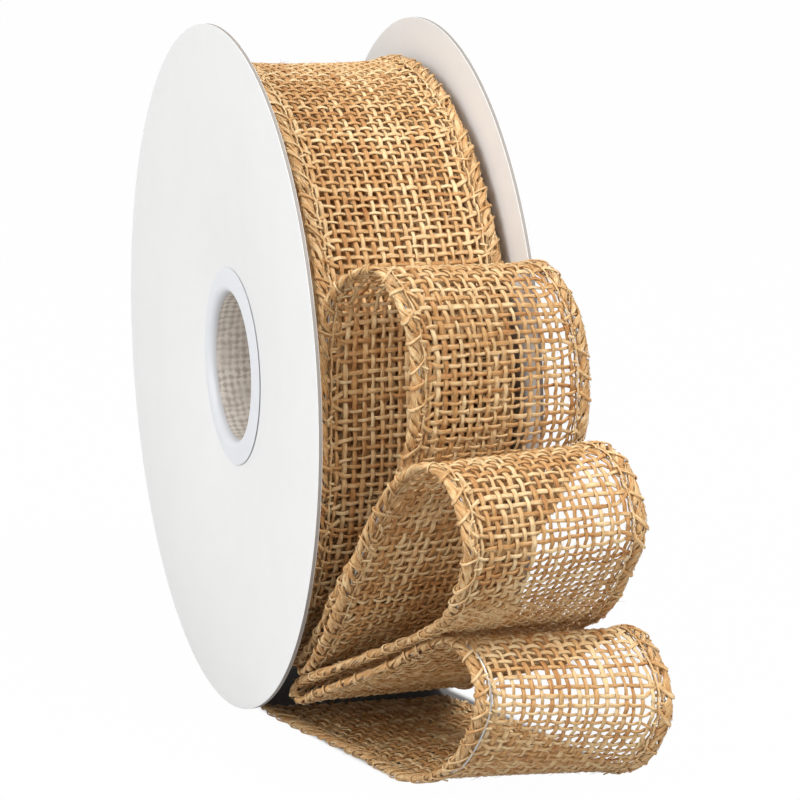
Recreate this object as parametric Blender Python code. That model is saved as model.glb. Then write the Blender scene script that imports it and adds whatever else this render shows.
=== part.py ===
"""Ribbon spool: two card discs on a plastic hub, wound with wire-edged jute ribbon.

Metres, +Z up. The axle runs along Y with the front disc at -Y, and the free end of the ribbon leaves the roll
at +X, folded into three standing loops. The origin is the bottom centre of the part's box.
"""
import math

import bmesh
import bpy
import numpy as np
from mathutils import Vector
from mathutils.geometry import intersect_point_line

MM = 0.001
# Points closer than this are one, where a turned shape closes on itself
SEAM = 0.01 * MM

# Ribbon: woven cloth, a wire along each side of it and an overlocked binding outside each wire
RIBBON_WIDTH = 38 * MM
CLOTH_THICKNESS = 1.0 * MM
EDGE_WIDTH = 2.2 * MM
EDGE_THICKNESS = 1.6 * MM
WIRE_DIAMETER = 0.4 * MM
LAYER_GAP = 0.3 * MM

# Roll: radius over the cloth of the last turn, rise of one turn, and the ribbon's place along the axle
ROLL_RADIUS = 62 * MM
TURN_RISE = 1.2 * MM
RIBBON_OFFSET = 1 * MM
TURN_END = math.radians(-28)
TURN_STEP = math.radians(8)
TURN_STATIONS = 72

# Card discs: they stand above the roll, the hub draws them in, and only the outer ring of each stays flat
DISC_MARGIN = 7 * MM
DISC_THICKNESS = 0.8 * MM
SIDE_ROOM = 4 * MM
FRONT_DISH = 3.6 * MM
REAR_DISH = 0.6 * MM
FLAT_RING = 7 * MM
DISH_STEPS = 4
DISC_SEGMENTS = 72

# Hub: two halves that plug together inside the roll
BORE_DIAMETER = 30 * MM
HUB_WALL = 1.6 * MM
RIM_WIDTH = 5 * MM
RIM_THICKNESS = 0.6 * MM
BORE_ROUNDING = 1.6 * MM
LAP_LENGTH = 8 * MM
HUB_FIT = 0.3 * MM
HUB_SEGMENTS = 48

# Tape that holds the inner end of the ribbon on the hub
TAPE_THICKNESS = 0.2 * MM
TAPE_WIDTH = 24 * MM
TAPE_ANGLE = math.radians(110)
TAPE_STATIONS = 16

# Free end: it lies on the roll between these angles, then follows the route below
ROOT_START = math.radians(-35)
ROOT_END = math.radians(3)
ROOT_POINTS = 4
STATION_SPACING = 5 * MM

# The front edge's x from the discs' foremost point, y from the wound ribbon's front edge and z from the floor
# in millimetres, the turn of the line across the ribbon in degrees, and the rise of its rear end in millimetres
ROUTE = (
    # First loop: up from the roll, over, and down behind the second
    (-5.3, -0.6, 86.0, 3.0, -0.3),
    (-3.1, 0.0, 94.0, 8.5, -0.6),
    (1.5, 1.4, 99.4, 11.0, -1.0),
    (7.5, 4.0, 101.6, 11.5, -2.2),
    (12.3, 6.6, 96.0, 11.0, -2.0),
    (13.0, 9.0, 86.0, 11.0, -1.4),
    (10.2, 9.5, 71.5, 8.0, -1.2),
    (6.3, 8.0, 60.5, 7.0, -1.0),
    (3.2, 4.0, 51.0, 6.5, -0.9),
    (-1.5, 0.8, 42.5, 6.0, -0.9),
    (-11.5, -0.3, 31.0, 6.0, -0.8),
    (-18.6, -0.7, 23.6, 6.0, -0.5),
    # Pinch, and the second loop up, over and back along the floor side
    (-20.4, -0.8, 21.2, 6.0, -0.5),
    (-18.0, -0.8, 21.2, 6.0, -0.6),
    (-7.3, -0.6, 30.6, 6.0, -0.8),
    (3.3, -0.2, 43.3, 6.5, -0.8),
    (9.0, 2.6, 55.5, 7.5, -0.6),
    (13.0, 5.2, 62.6, 8.5, -0.2),
    (19.5, 8.2, 67.3, 9.7, 0.0),
    (26.5, 10.7, 65.6, 9.0, -0.2),
    (30.2, 12.7, 55.0, 8.0, -0.2),
    (25.0, 12.2, 42.6, 7.6, -0.6),
    (12.5, 12.8, 36.5, 7.0, -2.0),
    (1.5, 10.4, 31.5, 7.2, -1.6),
    (-16.0, 0.8, 20.2, 7.2, -2.0),
    (-28.0, -0.3, 14.6, 7.0, -4.0),
    # Pinch, and the third loop out, over and back along the floor to the cut end
    (-32.4, -0.7, 12.2, 7.0, -5.2),
    (-29.4, -0.3, 11.3, 7.0, -5.6),
    (-19.0, 0.6, 15.4, 7.2, -6.2),
    (-11.0, 4.2, 20.2, 7.2, -6.0),
    (-2.0, 10.6, 26.3, 7.2, -4.0),
    (5.2, 13.1, 30.6, 6.9, -2.2),
    (14.5, 17.2, 34.2, 6.3, -3.4),
    (22.0, 19.2, 30.0, 4.7, -3.2),
    (23.3, 19.6, 23.0, 1.0, -3.4),
    (17.5, 18.2, 11.0, 1.5, -3.6),
    (9.5, 16.5, 4.4, 5.5, -2.8),
    (-4.0, 13.2, 1.0, 5.0, 0.0),
    (-20.0, 9.9, 0.9, 4.0, 0.0),
    (-39.0, 4.4, 0.9, 2.0, 0.0),
    (-50.0, 1.8, 0.9, -2.0, 0.0),
    (-55.5, 0.8, 0.9, -9.0, 0.0),
)

DISC_RADIUS = ROLL_RADIUS + DISC_MARGIN
DISC_GAP = RIBBON_WIDTH + SIDE_ROOM
FRONT_EDGE = RIBBON_OFFSET - RIBBON_WIDTH / 2
BORE_RADIUS = BORE_DIAMETER / 2
TUBE_RADIUS = BORE_RADIUS + HUB_WALL
RIM_RADIUS = BORE_RADIUS + RIM_WIDTH
ROLL_BORE = TUBE_RADIUS + TAPE_THICKNESS + 2 * LAYER_GAP
TURN_MIDDLE = ROLL_RADIUS - CLOTH_THICKNESS / 2
ROOT_RADIUS = TURN_MIDDLE + EDGE_THICKNESS + LAYER_GAP
FLOOR_LEVEL = (EDGE_THICKNESS + LAYER_GAP) / 2

# Places across the ribbon, from its front edge
WIRE_PLACE = EDGE_WIDTH + LAYER_GAP + WIRE_DIAMETER / 2
CLOTH_PLACE = WIRE_PLACE + WIRE_DIAMETER / 2 + LAYER_GAP

for old in list(bpy.data.objects):
    bpy.data.objects.remove(old)


def material(name, colour, roughness, metallic=0.0):
    made = bpy.data.materials.new(name)
    made.use_nodes = True
    shader = made.node_tree.nodes["Principled BSDF"]
    shader.inputs["Base Color"].default_value = (*colour, 1.0)
    shader.inputs["Roughness"].default_value = roughness
    shader.inputs["Metallic"].default_value = metallic
    return made


CARD = material("card", (0.86, 0.85, 0.83), 0.6)
PLASTIC = material("hub_plastic", (0.84, 0.85, 0.86), 0.35)
TAPE = material("tape", (0.75, 0.68, 0.5), 0.3)
JUTE = material("jute", (0.5, 0.32, 0.15), 0.85)
BINDING = material("binding", (0.56, 0.37, 0.18), 0.85)
WIRE = material("wire", (0.7, 0.7, 0.7), 0.3, 1.0)


def group(name, place, parent=None):
    """An empty that carries one rigid body's pieces, standing on the joint's axis."""
    empty = bpy.data.objects.new(name, None)
    empty.empty_display_size = 0.02
    empty.location = place
    empty.parent = parent
    bpy.context.collection.objects.link(empty)
    return empty


AXLE = Vector((0, 0, DISC_RADIUS))
ROOT = group("ribbon_spool", (0, 0, 0))
SPOOL = group("spool", AXLE, ROOT)
TAIL = group("tail", AXLE, ROOT)


def piece(name, bm, look, body):
    """A named object from a mesh in axle coordinates."""
    bmesh.ops.recalc_face_normals(bm, faces=bm.faces)
    mesh = bpy.data.meshes.new(name)
    bm.to_mesh(mesh)
    bm.free()
    mesh.materials.append(look)
    made = bpy.data.objects.new(name, mesh)
    made.parent = body
    bpy.context.collection.objects.link(made)
    return made


def turned(name, profile, segments, look):
    """A closed profile of (radius, y) points turned once round the axle, with a flat facet at the bottom."""
    bm = bmesh.new()
    start = math.pi / segments
    loop = [bm.verts.new((r * math.cos(start), y, r * math.sin(start))) for r, y in profile]
    edges = [bm.edges.new((loop[i - 1], loop[i])) for i in range(len(loop))]
    bmesh.ops.spin(bm, geom=loop + edges, axis=(0, 1, 0), cent=(0, 0, 0), angle=math.tau, steps=segments)
    bmesh.ops.remove_doubles(bm, verts=bm.verts, dist=SEAM)
    return piece(name, bm, look, SPOOL)


def loft(name, sections, look, body, closed=False):
    """A solid through equal sections, with end caps unless it closes on itself."""
    bm = bmesh.new()
    rings = [[bm.verts.new(point) for point in section] for section in sections]
    for one, two in zip(rings, rings[1:] + rings[:1] if closed else rings[1:]):
        for i in range(len(one)):
            bm.faces.new((one[i - 1], one[i], two[i], two[i - 1]))
    if not closed:
        bm.faces.new(rings[0])
        bm.faces.new(rings[-1])
    return piece(name, bm, look, body)


def oval(middle, width, thickness, sides):
    """Outline of a round or oval strand, as places across the ribbon and out of it."""
    turns = [math.tau * i / sides for i in range(sides)]
    return [(middle + width / 2 * math.cos(a), thickness / 2 * math.sin(a)) for a in turns]


def along_ribbon(name, stations, outline, look, body):
    """One strand or strip that runs the length of the ribbon."""
    sections = [[edge + across * a + out * b for a, b in outline] for edge, across, out in stations]
    return loft(name, sections, look, body)


CLOTH_OUTLINE = [
    (CLOTH_PLACE, -CLOTH_THICKNESS / 2),
    (CLOTH_PLACE, CLOTH_THICKNESS / 2),
    (RIBBON_WIDTH - CLOTH_PLACE, CLOTH_THICKNESS / 2),
    (RIBBON_WIDTH - CLOTH_PLACE, -CLOTH_THICKNESS / 2),
]
FRONT_BINDING = oval(EDGE_WIDTH / 2, EDGE_WIDTH, EDGE_THICKNESS, 6)
REAR_BINDING = oval(RIBBON_WIDTH - EDGE_WIDTH / 2, EDGE_WIDTH, EDGE_THICKNESS, 6)
FRONT_WIRE = oval(WIRE_PLACE, WIRE_DIAMETER, WIRE_DIAMETER, 4)
REAR_WIRE = oval(RIBBON_WIDTH - WIRE_PLACE, WIRE_DIAMETER, WIRE_DIAMETER, 4)


def disc(name, side, dish):
    """A card disc with its hub hole, drawn in towards the roll by the dish."""
    inner = DISC_GAP / 2
    seat = RIM_RADIUS + HUB_FIT
    line = [(TUBE_RADIUS + HUB_FIT, inner - dish)]
    for step in range(DISH_STEPS + 1):
        part_way = step / DISH_STEPS
        radius = seat + (DISC_RADIUS - FLAT_RING - seat) * part_way
        line.append((radius, inner - dish * (1 - part_way) ** 2))
    line.append((DISC_RADIUS, inner))
    outer_line = [(r, y + DISC_THICKNESS) for r, y in reversed(line)]
    return turned(name, [(r, side * y) for r, y in line + outer_line], DISC_SEGMENTS, CARD)


disc("front_disc", -1, FRONT_DISH)
disc("rear_disc", 1, REAR_DISH)

# Hub halves: the card's outer faces carry the rims, and the lap sits in the middle of the roll
FRONT_FACE = -(DISC_GAP / 2 + DISC_THICKNESS - FRONT_DISH)
REAR_FACE = DISC_GAP / 2 + DISC_THICKNESS - REAR_DISH
LAP_START = -LAP_LENGTH / 2
LAP_MIDDLE = BORE_RADIUS + HUB_WALL / 2


def rim(face, side):
    """The rim's outline from its seat on the card round to the bore."""
    seat = face + side * HUB_FIT
    top = seat + side * RIM_THICKNESS
    edge = RIM_THICKNESS / 2
    line = [
        (TUBE_RADIUS, seat),
        (RIM_RADIUS, seat),
        (RIM_RADIUS, top - side * edge),
        (RIM_RADIUS - edge, top),
    ]
    for step in range(5):
        turn = math.radians(22.5 * step)
        r = BORE_RADIUS + BORE_ROUNDING * (1 - math.sin(turn))
        line.append((r, top - side * BORE_ROUNDING * (1 - math.cos(turn))))
    return line


socket = [
    (BORE_RADIUS, LAP_START),
    (LAP_MIDDLE + HUB_FIT / 2, LAP_START),
    (LAP_MIDDLE + HUB_FIT / 2, LAP_START + LAP_LENGTH),
    (TUBE_RADIUS, LAP_START + LAP_LENGTH),
]
spigot = [
    (BORE_RADIUS, LAP_START + HUB_FIT),
    (LAP_MIDDLE - HUB_FIT / 2, LAP_START + HUB_FIT),
    (LAP_MIDDLE - HUB_FIT / 2, LAP_START + LAP_LENGTH + HUB_FIT),
    (TUBE_RADIUS, LAP_START + LAP_LENGTH + HUB_FIT),
]
turned("front_hub", rim(FRONT_FACE, -1) + socket, HUB_SEGMENTS, PLASTIC)
turned("rear_hub", rim(REAR_FACE, 1) + spigot, HUB_SEGMENTS, PLASTIC)


def round_axle(radius, angle, y):
    return Vector((radius * math.cos(angle), y, radius * math.sin(angle)))


# Tape: a curved patch between the tube and the first layer
tape_sections = []
for i in range(TAPE_STATIONS + 1):
    angle = TAPE_ANGLE * (i / TAPE_STATIONS - 0.5)
    inner = TUBE_RADIUS + LAYER_GAP
    corners = [(inner, -1), (inner, 1), (inner + TAPE_THICKNESS, 1), (inner + TAPE_THICKNESS, -1)]
    tape_sections.append([round_axle(r, angle, RIBBON_OFFSET + s * TAPE_WIDTH / 2) for r, s in corners])
loft("core_tape", tape_sections, TAPE, SPOOL)

# Roll: the last turn climbs by one layer over the plain inner layers, and steps down where it began
turn_stations = []
core_sections = []
inner_front = max(FRONT_EDGE, FRONT_DISH + LAYER_GAP - DISC_GAP / 2)
rear_edge = FRONT_EDGE + RIBBON_WIDTH
for i in range(TURN_STATIONS):
    part_way = i / (TURN_STATIONS - 1)
    angle = TURN_END - (1 - part_way) * (math.tau - TURN_STEP)
    radius = TURN_MIDDLE - TURN_RISE * (1 - part_way)
    outward = round_axle(1, angle, 0)
    turn_stations.append((round_axle(radius, angle, FRONT_EDGE), Vector((0, 1, 0)), outward))
    core_radius = radius - EDGE_THICKNESS / 2 - LAYER_GAP
    corners = [
        (ROLL_BORE, inner_front),
        (ROLL_BORE, rear_edge),
        (core_radius, rear_edge),
        (core_radius, FRONT_EDGE),
    ]
    core_sections.append([round_axle(r, angle, y) for r, y in corners])
loft("wound_ribbon", core_sections, JUTE, SPOOL, closed=True)
along_ribbon("outer_turn", turn_stations, CLOTH_OUTLINE, JUTE, SPOOL)
along_ribbon("turn_edge_front", turn_stations, FRONT_BINDING, BINDING, SPOOL)
along_ribbon("turn_edge_rear", turn_stations, REAR_BINDING, BINDING, SPOOL)


def smooth(points, spacing):
    """Rows along a centripetal Catmull-Rom curve through the given rows, spaced by their first three values."""
    rows = np.array(points)
    rows = np.vstack([2 * rows[0] - rows[1], rows, 2 * rows[-1] - rows[-2]])
    chords = np.linalg.norm(np.diff(rows[:, :3], axis=0), axis=1)
    knots = np.concatenate([[0], np.cumsum(np.sqrt(chords))])
    levels = (((0, 1), (1, 2), (2, 3)), ((0, 2), (1, 3)), ((1, 2),))
    result = []
    for i in range(len(rows) - 3):
        knot = knots[i:i + 4]
        steps = max(3, round(chords[i + 1] / spacing))
        for t in np.linspace(knot[1], knot[2], steps, endpoint=False):
            mix = rows[i:i + 4]
            for level in levels:
                mix = [mix[j] + (mix[j + 1] - mix[j]) * (t - knot[a]) / (knot[b] - knot[a])
                       for j, (a, b) in enumerate(level)]
            result.append(mix[0])
    return result + [rows[-2]]


# Free end: places of the front edge in axle coordinates, with the turn and rise of the line across
laid = []
for i in range(ROOT_POINTS):
    angle = ROOT_START + (ROOT_END - ROOT_START) * i / (ROOT_POINTS - 1)
    laid.append((*round_axle(ROOT_RADIUS, angle, FRONT_EDGE), 0.0, 0.0))
for x, y, z, turn, rise in ROUTE:
    height = max(z * MM, FLOOR_LEVEL) - DISC_RADIUS
    laid.append((DISC_RADIUS + x * MM, FRONT_EDGE + y * MM, height, math.radians(turn), rise * MM))

route = smooth(laid, STATION_SPACING)
edges = [Vector(row[:3]) for row in route]
tail_stations = []
for i, row in enumerate(route):
    turn, rise = row[3], row[4]
    across = Vector((-math.sin(turn) * RIBBON_WIDTH, math.cos(turn) * RIBBON_WIDTH, rise)).normalized()
    heading = edges[min(i + 1, len(edges) - 1)] - edges[max(i - 1, 0)]
    tail_stations.append((edges[i], across, across.cross(heading).normalized()))
along_ribbon("ribbon_tail", tail_stations, CLOTH_OUTLINE, JUTE, TAIL)
along_ribbon("tail_edge_front", tail_stations, FRONT_BINDING, BINDING, TAIL)
along_ribbon("tail_edge_rear", tail_stations, REAR_BINDING, BINDING, TAIL)
along_ribbon("tail_wire_front", tail_stations, FRONT_WIRE, WIRE, TAIL)
along_ribbon("tail_wire_rear", tail_stations, REAR_WIRE, WIRE, TAIL)

# Least gap between two strands of the free end, measured along both edges past each fold
lengths = [0.0]
for one, two in zip(edges, edges[1:]):
    lengths.append(lengths[-1] + (two - one).length)
least = math.inf
for place in (0, RIBBON_WIDTH):
    line = [edge + across * place for edge, across, out in tail_stations]
    for i, point in enumerate(line):
        for j in range(1, i):
            if lengths[i] - lengths[j] > 6 * EDGE_THICKNESS:
                foot, share = intersect_point_line(point, line[j - 1], line[j])
                if 0 <= share <= 1:
                    least = min(least, (point - foot).length - EDGE_THICKNESS)
print(f"free end: {lengths[-1] / MM:.0f} mm long, least gap {least / MM:.2f} mm")

# The part's box puts the origin at its bottom centre
bpy.context.view_layer.update()
corners = [made.matrix_world @ vert.co for made in bpy.data.objects if made.type == "MESH"
           for vert in made.data.vertices]
low = Vector([min(corner[axis] for corner in corners) for axis in range(3)])
high = Vector([max(corner[axis] for corner in corners) for axis in range(3)])
ROOT.location = (-(low.x + high.x) / 2, -(low.y + high.y) / 2, -low.z)
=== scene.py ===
import math

import bpy
import numpy as np
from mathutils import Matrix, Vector


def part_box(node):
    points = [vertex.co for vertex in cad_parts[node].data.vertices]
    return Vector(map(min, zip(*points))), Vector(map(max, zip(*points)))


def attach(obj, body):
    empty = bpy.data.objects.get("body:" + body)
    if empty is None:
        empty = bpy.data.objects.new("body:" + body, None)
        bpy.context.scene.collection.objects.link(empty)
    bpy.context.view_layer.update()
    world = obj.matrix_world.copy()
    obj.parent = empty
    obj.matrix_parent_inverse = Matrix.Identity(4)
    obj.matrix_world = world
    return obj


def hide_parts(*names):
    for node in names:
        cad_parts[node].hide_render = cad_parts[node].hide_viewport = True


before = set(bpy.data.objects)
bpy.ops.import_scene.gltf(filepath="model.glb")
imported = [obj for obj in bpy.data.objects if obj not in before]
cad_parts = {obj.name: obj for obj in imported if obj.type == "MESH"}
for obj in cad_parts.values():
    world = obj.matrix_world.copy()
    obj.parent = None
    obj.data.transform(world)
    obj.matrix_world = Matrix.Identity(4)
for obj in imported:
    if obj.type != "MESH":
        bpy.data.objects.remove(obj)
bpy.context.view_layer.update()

# Hub: two moulded halves of white satin plastic that plug together inside the roll. Each has a thin rim that
# lies on the card and rolls over into the bore. The wound ribbon seen faintly through the thin wall is
# painted on the bore as a faint beige weave, a painted see-through that stands in for light passing through
# the wall.
MM = 0.001
BORE_RADIUS = 15 * MM
HUB_WALL = 1.6 * MM
RIM_THICKNESS = 0.6 * MM
RIM_EDGE = 0.05 * MM
RIM_BEDDING = 0.1 * MM
BORE_ROUNDING = 1.6 * MM
BORE_TONE_FADE = 0.4 * MM
HUB_SEGMENTS = 144
ROUNDING_STEPS = 10
PLASTIC_WHITE = (0.735, 0.747, 0.78)
PLASTIC_ROUGHNESS = 0.36
SEEN_THROUGH_BEIGE = (0.84, 0.78, 0.71)
SEEN_THROUGH_BROWN = (0.52, 0.45, 0.39)
WALL_ROUGHER = 0.25
WALL_WEAVE_PITCH = 1.5 * MM
WALL_WEAVE_STRENGTH = 1.2
WALL_WAVER_AROUND = 9.0
WALL_WAVER_ALONG = 5.0
WALL_SPECKS = 0.5

disc_low, disc_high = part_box("rear_disc")
front_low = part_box("front_disc")[0]
axle = np.array((
    (disc_low.x + disc_high.x) / 2,
    (front_low.y + disc_high.y) / 2,
    (disc_low.z + disc_high.z) / 2,
))


class Signal:
    """An output in a material's node tree. Sums on it add Math nodes, and add() makes any other node."""

    def __init__(self, tree, socket=None):
        self.tree = tree
        self.socket = socket

    def add(self, kind, settings=None, sockets=None, output=0):
        made = self.tree.nodes.new("ShaderNode" + kind)
        for name, value in (settings or {}).items():
            if name == "stops":
                ramp = made.color_ramp
                while len(ramp.elements) < len(value):
                    ramp.elements.new(1.0)
                for element, (place, colour) in zip(ramp.elements, value):
                    element.position = place
                    element.color = (*colour, 1.0)
            else:
                setattr(made, name, value)
        for name, value in (sockets or {}).items():
            if isinstance(value, Signal):
                self.tree.links.new(value.socket, made.inputs[name])
            elif isinstance(value, tuple) and made.inputs[name].type == "RGBA":
                made.inputs[name].default_value = (*value, 1.0)
            else:
                made.inputs[name].default_value = value
        return Signal(self.tree, made.outputs[output])

    def noise(self, **sockets):
        """Noise at the places that this vector gives."""
        return self.add("TexNoise", sockets={"Vector": self, **sockets}, output="Fac")

    def part(self, name):
        """Another output of the node that this one belongs to."""
        return Signal(self.tree, self.socket.node.outputs[name])

    def maths(self, operation, one, two=0.0):
        return self.add("Math", {"operation": operation}, {0: one, 1: two})

    def __add__(self, other):
        return self.maths("ADD", self, other)

    def __radd__(self, other):
        return self.maths("ADD", other, self)

    def __sub__(self, other):
        return self.maths("SUBTRACT", self, other)

    def __rsub__(self, other):
        return self.maths("SUBTRACT", other, self)

    def __mul__(self, other):
        return self.maths("MULTIPLY", self, other)

    def __rmul__(self, other):
        return self.maths("MULTIPLY", other, self)

    def mixed(self, one, two):
        """A colour between two, by this signal. A Mix node's colours are sockets 6 and 7 and output 2."""
        return self.add("Mix", {"data_type": "RGBA"}, {0: self, 6: one, 7: two}, 2)

    def stretched(self, *scale):
        """A vector with each part scaled."""
        return self.add("VectorMath", {"operation": "MULTIPLY"}, {0: self, 1: scale})


def new_finish(name, **fixed):
    """A material with one shader, its even values set on the shader's own sockets."""
    made = bpy.data.materials.new(name)
    made.use_nodes = True
    shader = made.node_tree.nodes["Principled BSDF"]
    for socket, value in fixed.items():
        shader.inputs[socket.replace("_", " ")].default_value = value
    return made, shader, Signal(made.node_tree)


def feed(shader, **signals):
    """Links what changes over the surface to the shader."""
    for socket, signal in signals.items():
        signal.tree.links.new(signal.socket, shader.inputs[socket.replace("_", " ")])


def quad_piece(name, points, quads, look, body, maps=None, values=None):
    """A closed, smooth piece from arrays of points and four-cornered faces, with maps and point values."""
    a, b, c, d = (points[quads[:, i]] for i in range(4))
    if np.einsum("ij,ij->", a, np.cross(b, c) + np.cross(c, d)) < 0:
        quads = quads[:, ::-1]
        maps = {key: uv[:, ::-1] for key, uv in (maps or {}).items()}
    mesh = bpy.data.meshes.new(name)
    mesh.vertices.add(len(points))
    mesh.vertices.foreach_set("co", np.ascontiguousarray(points, np.float32).ravel())
    mesh.loops.add(quads.size)
    mesh.loops.foreach_set("vertex_index", np.ascontiguousarray(quads, np.int32).ravel())
    mesh.polygons.add(len(quads))
    mesh.polygons.foreach_set("loop_start", np.arange(0, quads.size, 4, dtype=np.int32))
    mesh.polygons.foreach_set("use_smooth", np.ones(len(quads), bool))
    for key, uv in (maps or {}).items():
        layer = mesh.uv_layers.new(name=key)
        layer.data.foreach_set("uv", np.ascontiguousarray(uv, np.float32).ravel())
    for key, value in (values or {}).items():
        field = mesh.attributes.new(key, "FLOAT", "POINT")
        field.data.foreach_set("value", np.ascontiguousarray(value, np.float32).ravel())
    mesh.update()
    mesh.validate()
    mesh.materials.append(look)
    made = bpy.data.objects.new(name, mesh)
    bpy.context.scene.collection.objects.link(made)
    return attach(made, body)


def turned(name, profile, segments, look, values=None):
    """A closed profile of (radius, y) points turned once round the axle, on the spool's body."""
    radius, y = np.array(profile).T
    angle = np.arange(segments) * math.tau / segments
    points = np.empty((segments, len(radius), 3))
    points[..., 0] = np.cos(angle)[:, None] * radius
    points[..., 1] = y
    points[..., 2] = np.sin(angle)[:, None] * radius
    index = np.arange(points.size // 3).reshape(segments, len(radius))
    beside = np.roll(index, -1, axis=0)
    opposite = np.roll(beside, -1, axis=1)
    following = np.roll(index, -1, axis=1)
    quads = np.stack((index, beside, opposite, following), -1).reshape(-1, 4)
    turn = np.arange(segments) / segments
    unrolled = np.empty((segments, len(radius), 4, 2))
    for corner, (turn_step, point_step) in enumerate(((0, 0), (1, 0), (1, 1), (0, 1))):
        unrolled[:, :, corner, 0] = (turn + turn_step / segments)[:, None] * math.tau * BORE_RADIUS
        unrolled[:, :, corner, 1] = np.roll(y, -point_step)
    maps = {"wall": unrolled.reshape(-1, 4, 2)}
    every = {key: np.tile(value, segments) for key, value in (values or {}).items()}
    return quad_piece(name, points.reshape(-1, 3) + axle, quads, look, "spool", maps, every)


plastic, plastic_shader, start = new_finish("hub_plastic", IOR=1.48)
inside = start.add("Attribute", {"attribute_name": "inside"}, output="Fac")
wall = start.add("UVMap", {"uv_map": "wall"})
bands = wall.stretched(1 / WALL_WEAVE_PITCH, 1 / WALL_WEAVE_PITCH, 0)
blur = bands.noise(Scale=0.55, Detail=4.0)
patches = bands.noise(Scale=0.16, Detail=2.0)
specks = bands.noise(Scale=1.9, Detail=3.0)
band_parts = start.add("SeparateXYZ", sockets={"Vector": bands})
around = start.maths("SINE", band_parts.part("X") * math.tau + blur * WALL_WAVER_AROUND)
along = start.maths("SINE", band_parts.part("Y") * math.tau + blur * WALL_WAVER_ALONG)
ridges = (around + along) * patches * patches * patches * WALL_WEAVE_STRENGTH
level = ridges + blur + (specks - 0.5) * WALL_SPECKS
shown = start.add("MapRange", sockets={"Value": level, "From Min": 0.15, "From Max": 0.75})
# The bore's beige and brown weave is painted: it stands in for the ribbon seen through the thin plastic wall
feed(plastic_shader, Base_Color=inside.mixed(PLASTIC_WHITE, shown.mixed(SEEN_THROUGH_BROWN, SEEN_THROUGH_BEIGE)))
feed(plastic_shader, Roughness=inside * WALL_ROUGHER + PLASTIC_ROUGHNESS)


def hub_half(node, side):
    """One half: rim, rounded lip, bore wall and the tube that meets the other half in the middle."""
    low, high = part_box(node)
    rim_radius = (high.x - low.x) / 2
    top = (low.y if side < 0 else high.y) - axle[1]
    seat = top - side * (RIM_THICKNESS + RIM_BEDDING)
    profile = [(BORE_RADIUS + HUB_WALL, 0.0), (BORE_RADIUS + HUB_WALL, seat), (rim_radius, seat)]
    for step in range(ROUNDING_STEPS + 1):
        turn = math.pi / 2 * step / ROUNDING_STEPS
        height = RIM_EDGE * math.sin(turn)
        profile.append((rim_radius - RIM_EDGE * (1 - math.cos(turn)), seat + side * height))
    for step in range(ROUNDING_STEPS + 1):
        turn = math.pi / 2 * step / ROUNDING_STEPS
        depth = BORE_ROUNDING * (1 - math.cos(turn))
        profile.append((BORE_RADIUS + BORE_ROUNDING * (1 - math.sin(turn)), top - side * depth))
    bore = [(BORE_RADIUS, top - side * (BORE_ROUNDING + BORE_TONE_FADE)), (BORE_RADIUS, 0.0)]
    inside_share = [0.0] * len(profile) + [1.0] * len(bore)
    half = turned("visual_" + node, profile + bore, HUB_SEGMENTS, plastic, {"inside": inside_share})
    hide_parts(node)


hub_half("front_hub", -1)
hub_half("rear_hub", 1)

# Tape: a short clear strip that holds the inner end of the ribbon on the hub tube. It keeps its CAD shape,
# since the roll covers it.
TAPE_AMBER = (0.62, 0.52, 0.34)
TAPE_CLEAR = (0.74, 0.66, 0.48)
tape, tape_shader, start = new_finish("tape", Roughness=0.22, Coat_Weight=0.3)
place = start.add("TexCoord", output="Object")
ripple = place.noise(Scale=300.0, Detail=2.0)
feed(tape_shader, Base_Color=ripple.mixed(TAPE_AMBER, TAPE_CLEAR))
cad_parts["core_tape"].data.materials.clear()
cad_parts["core_tape"].data.materials.append(tape)

# Card discs: round flanges die-cut from white coated board, pushed over the hub tube and held under its rims.
# The cut edge shows the grey board between its two white faces. The front disc is drawn in towards the hub,
# and the rear one is bent back at its far side.
DISC_THICKNESS = 0.8 * MM
HOLE_ROOM = 0.3 * MM
DISC_HOLE = BORE_RADIUS + HUB_WALL + HOLE_ROOM
DISH_START = 20.3 * MM
FLAT_RING = 7 * MM
EDGE_RINGS = (2 * MM, 0.5 * MM)
FRONT_DISH = 3.6 * MM
REAR_DISH = 0.6 * MM
REAR_BEND = 3.4 * MM
REAR_FLARE = 0.1
EDGE_ROUNDING = 0.07 * MM
EDGE_STEPS = 3
PLY_WHITE = 0.1 * MM
DISC_SEGMENTS = 288
DISH_STEPS = 24
CARD_WHITE = (0.845, 0.845, 0.842)
CARD_SHADE = (0.815, 0.812, 0.806)
BOARD_GREY = (0.29, 0.265, 0.24)
CUT_FRAY = 0.3
CARD_ROUGHNESS = 0.55
MOTTLE_ROUGHER = 0.14

card, card_shader, start = new_finish("card")
place = start.add("TexCoord", output="Object")
mottle = place.noise(Scale=120.0, Detail=4.0)
fibres = place.noise(Scale=2400.0, Detail=3.0)
ply = start.add("Attribute", {"attribute_name": "ply"}, output="Fac")
cut = start.add("MapRange", sockets={"Value": ply + fibres * CUT_FRAY, "From Min": 0.5, "From Max": 0.8})
feed(card_shader, Base_Color=cut.mixed(mottle.mixed(CARD_WHITE, CARD_SHADE), BOARD_GREY))
feed(card_shader, Roughness=CARD_ROUGHNESS + mottle * MOTTLE_ROUGHER)
tooth = start.add("Bump", sockets={"Strength": 0.12, "Distance": 0.05 * MM, "Height": fibres})
feed(card_shader, Normal=tooth)


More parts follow.
